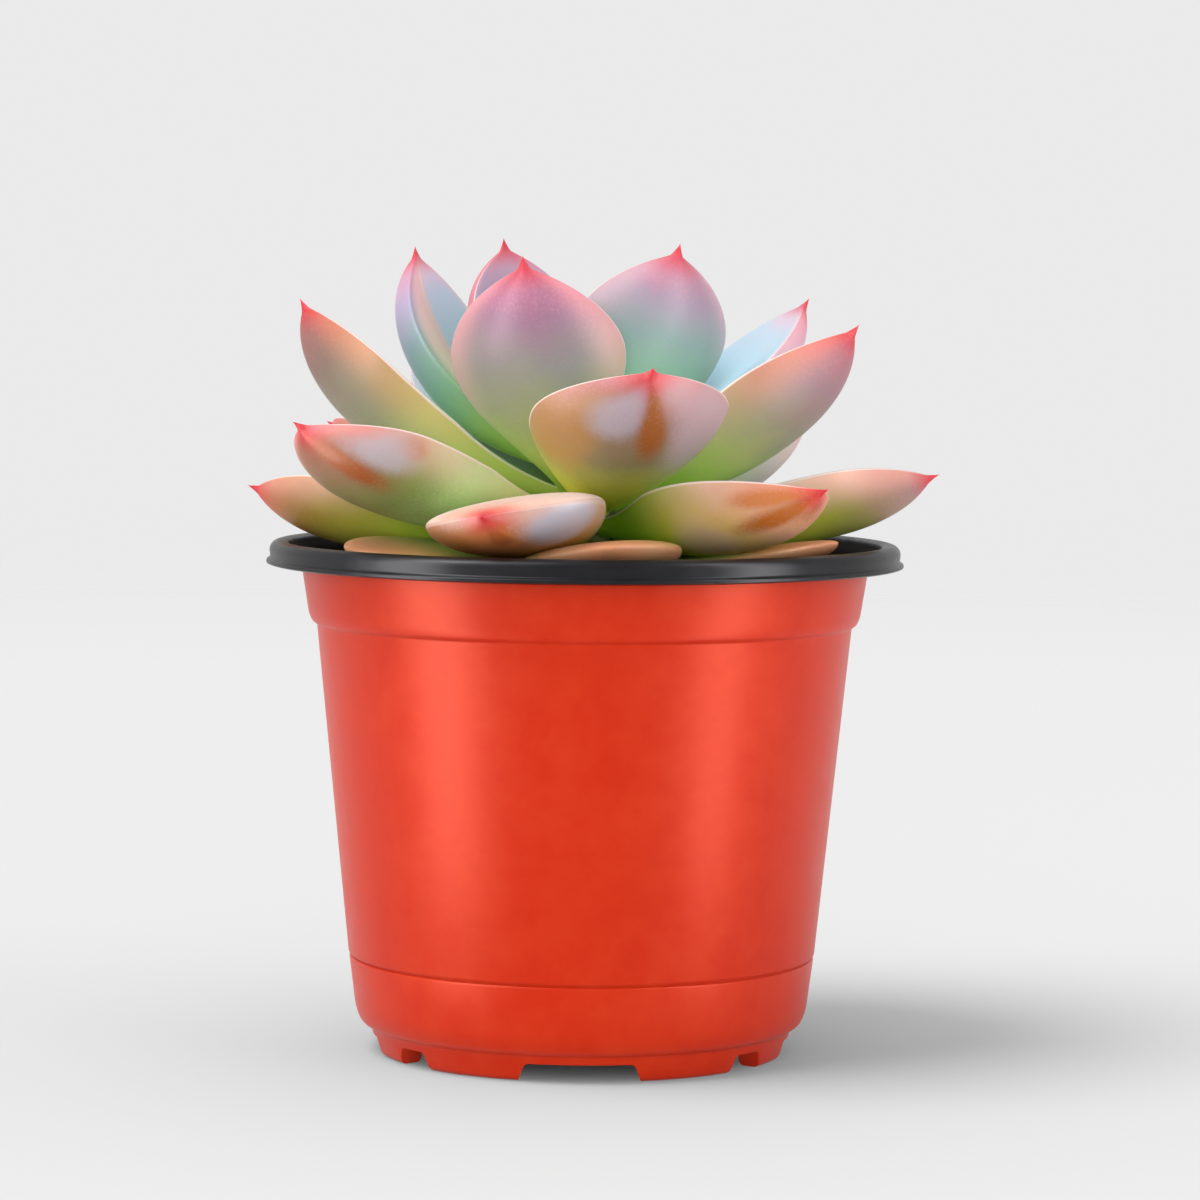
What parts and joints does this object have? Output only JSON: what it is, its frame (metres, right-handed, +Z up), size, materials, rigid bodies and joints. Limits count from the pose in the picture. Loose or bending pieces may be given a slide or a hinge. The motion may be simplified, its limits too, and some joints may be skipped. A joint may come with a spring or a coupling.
{
  "type": "potted echeveria",
  "caption": "Rosette of thick pointed succulent leaves, grey-green with pink edges, growing in a tapered red nursery pot with a black rolled rim.",
  "frame": {"origin": "on the pot's axis, on the plane that its feet stand on", "axes": "+Z up along the pot's axis, -Y towards the viewer of the picture, +X to the right in it"},
  "size_m": [0.12, 0.1128, 0.1406],
  "materials": {
    "red_plastic": "satin",
    "black_plastic": "satin",
    "soil": "matte",
    "stem_bark": "matte",
    "young_leaf": "satin",
    "inner_leaf": "satin",
    "middle_leaf": "satin",
    "outer_leaf": "satin",
    "old_leaf": "satin"
  },
  "bodies": {
    "root": {"pot_outer_layer": "red_plastic", "pot_inner_layer_and_rim": "black_plastic", "potting_soil": "soil", "stem": "stem_bark", "heart": "young_leaf", "inner_leaf_1": "inner_leaf", "inner_leaf_2": "inner_leaf", "inner_leaf_3": "inner_leaf", "inner_leaf_4": "inner_leaf", "inner_leaf_5": "inner_leaf", "inner_leaf_6": "inner_leaf", "inner_leaf_7": "inner_leaf", "middle_leaf_1": "middle_leaf", "middle_leaf_2": "middle_leaf", "middle_leaf_3": "middle_leaf", "middle_leaf_4": "middle_leaf", "middle_leaf_5": "middle_leaf", "middle_leaf_6": "middle_leaf", "middle_leaf_7": "middle_leaf", "middle_leaf_8": "middle_leaf", "middle_leaf_9": "middle_leaf", "outer_leaf_1": "outer_leaf", "outer_leaf_2": "outer_leaf", "outer_leaf_3": "outer_leaf", "outer_leaf_4": "outer_leaf", "outer_leaf_5": "outer_leaf", "outer_leaf_6": "outer_leaf", "ground_leaf_1": "old_leaf", "ground_leaf_2": "old_leaf", "ground_leaf_3": "old_leaf"}
  },
  "joints": []
}
